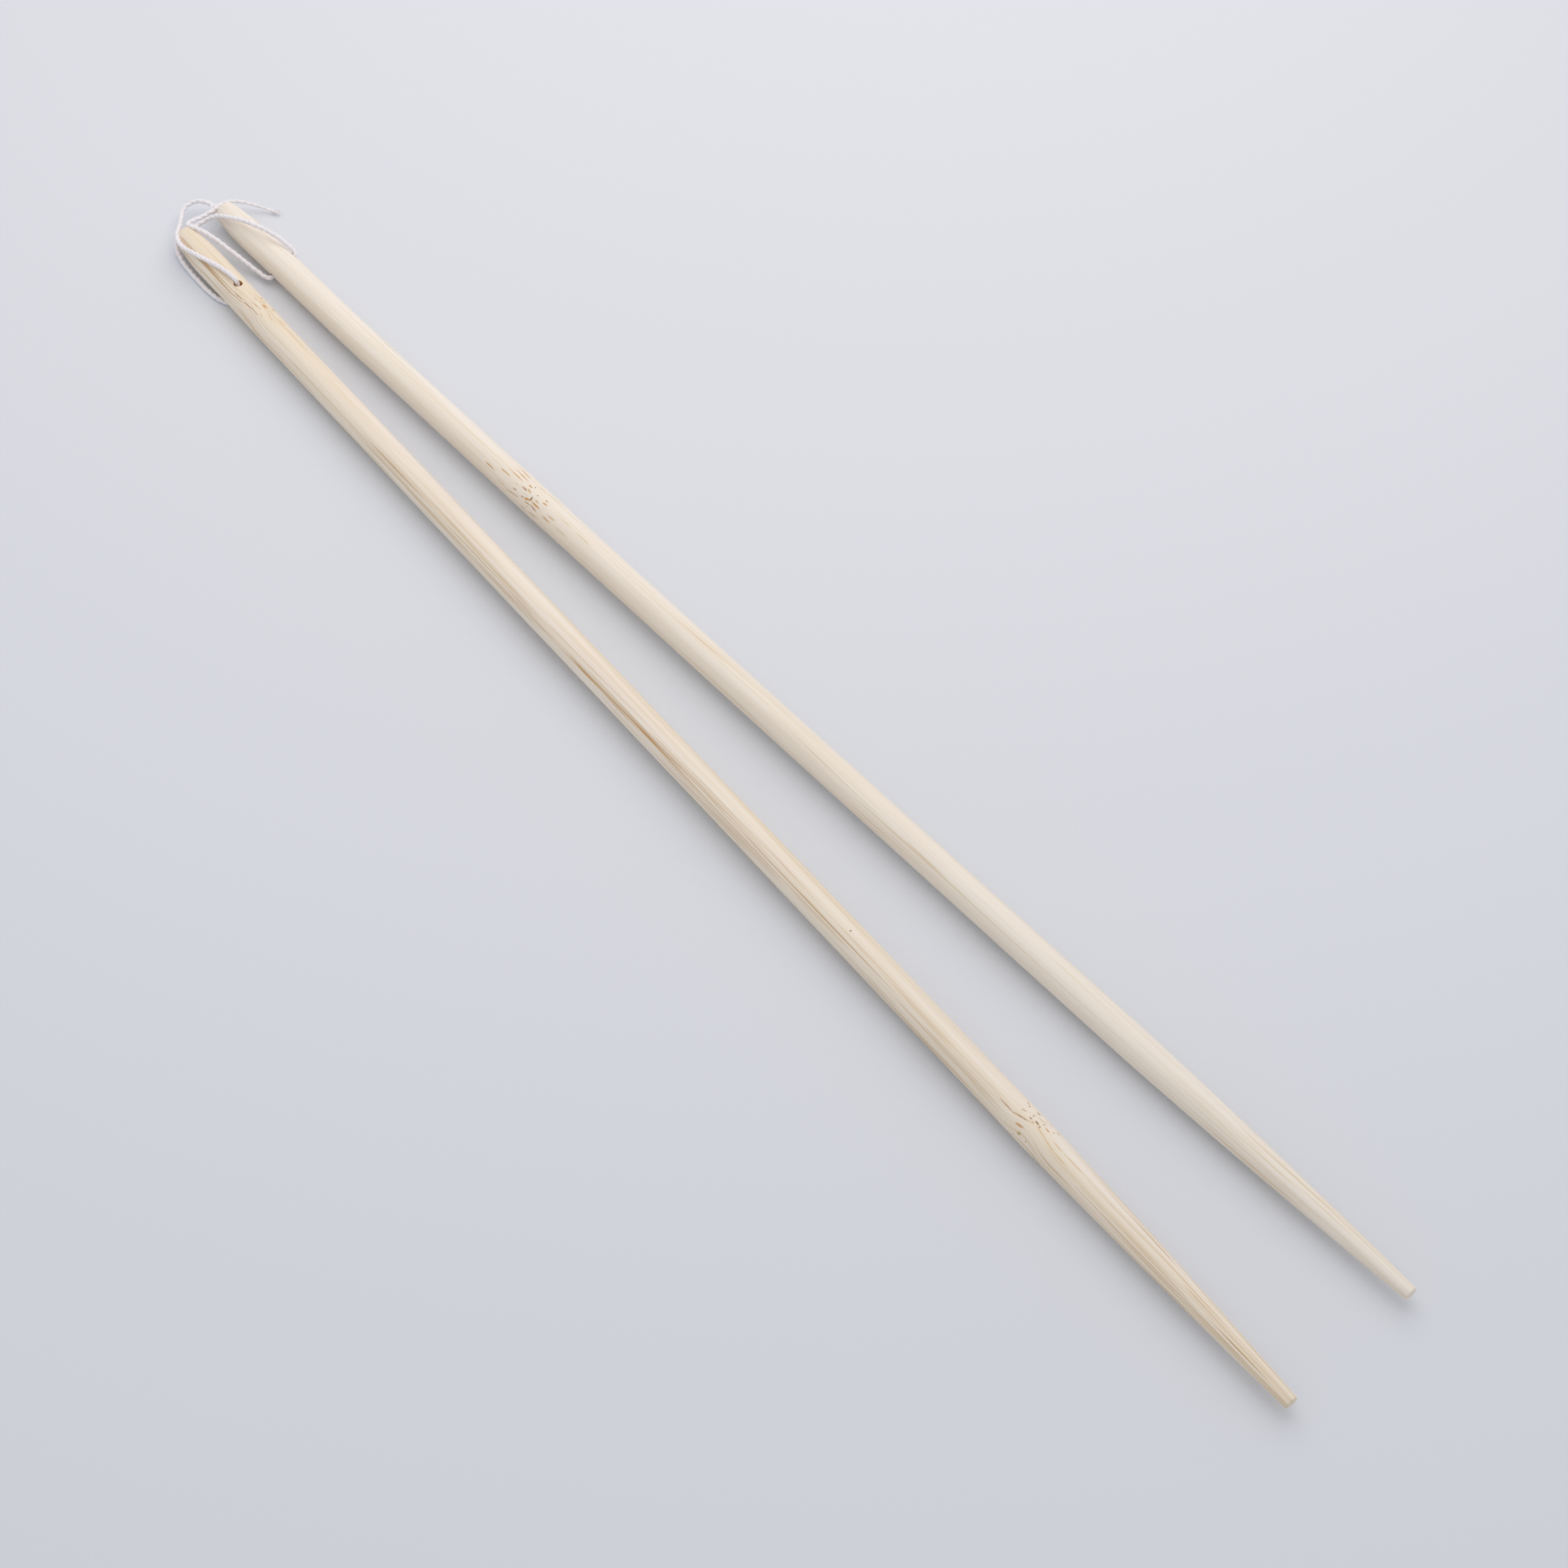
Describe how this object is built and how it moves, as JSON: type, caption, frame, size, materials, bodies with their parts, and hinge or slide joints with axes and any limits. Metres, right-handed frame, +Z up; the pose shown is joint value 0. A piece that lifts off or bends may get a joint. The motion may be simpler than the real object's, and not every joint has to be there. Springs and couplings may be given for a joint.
{
  "type": "cooking chopsticks",
  "caption": "Long slim bamboo cooking chopsticks with blunt tapered tips and cross-drilled butts, tied together at the butts by a white cotton string.",
  "frame": {"origin": "on the table, below the centre of the two sticks' bounding box", "axes": "+X runs from the butts to the tips along the middle of the pair, +Y points to the right-hand stick, +Z is up"},
  "size_m": [0.3379, 0.0316, 0.0087],
  "materials": {
    "bamboo": "matt satin, bare bamboo",
    "cotton": "matt twisted cotton"
  },
  "bodies": {
    "left_stick": {"chopstick_left": "bamboo", "tie_string": "cotton", "string_knot": "cotton"},
    "right_stick": {"chopstick_right": "bamboo"}
  },
  "joints": [
    {"name": "spread", "type": "hinge", "parent": "left_stick", "child": "right_stick", "pos_m": [-0.16515, 0.00521, 0.0031], "axis": [0, 0, 1], "range_deg": [-3.5, 20], "deforming": ["tie_string", "string_knot"]}
  ]
}
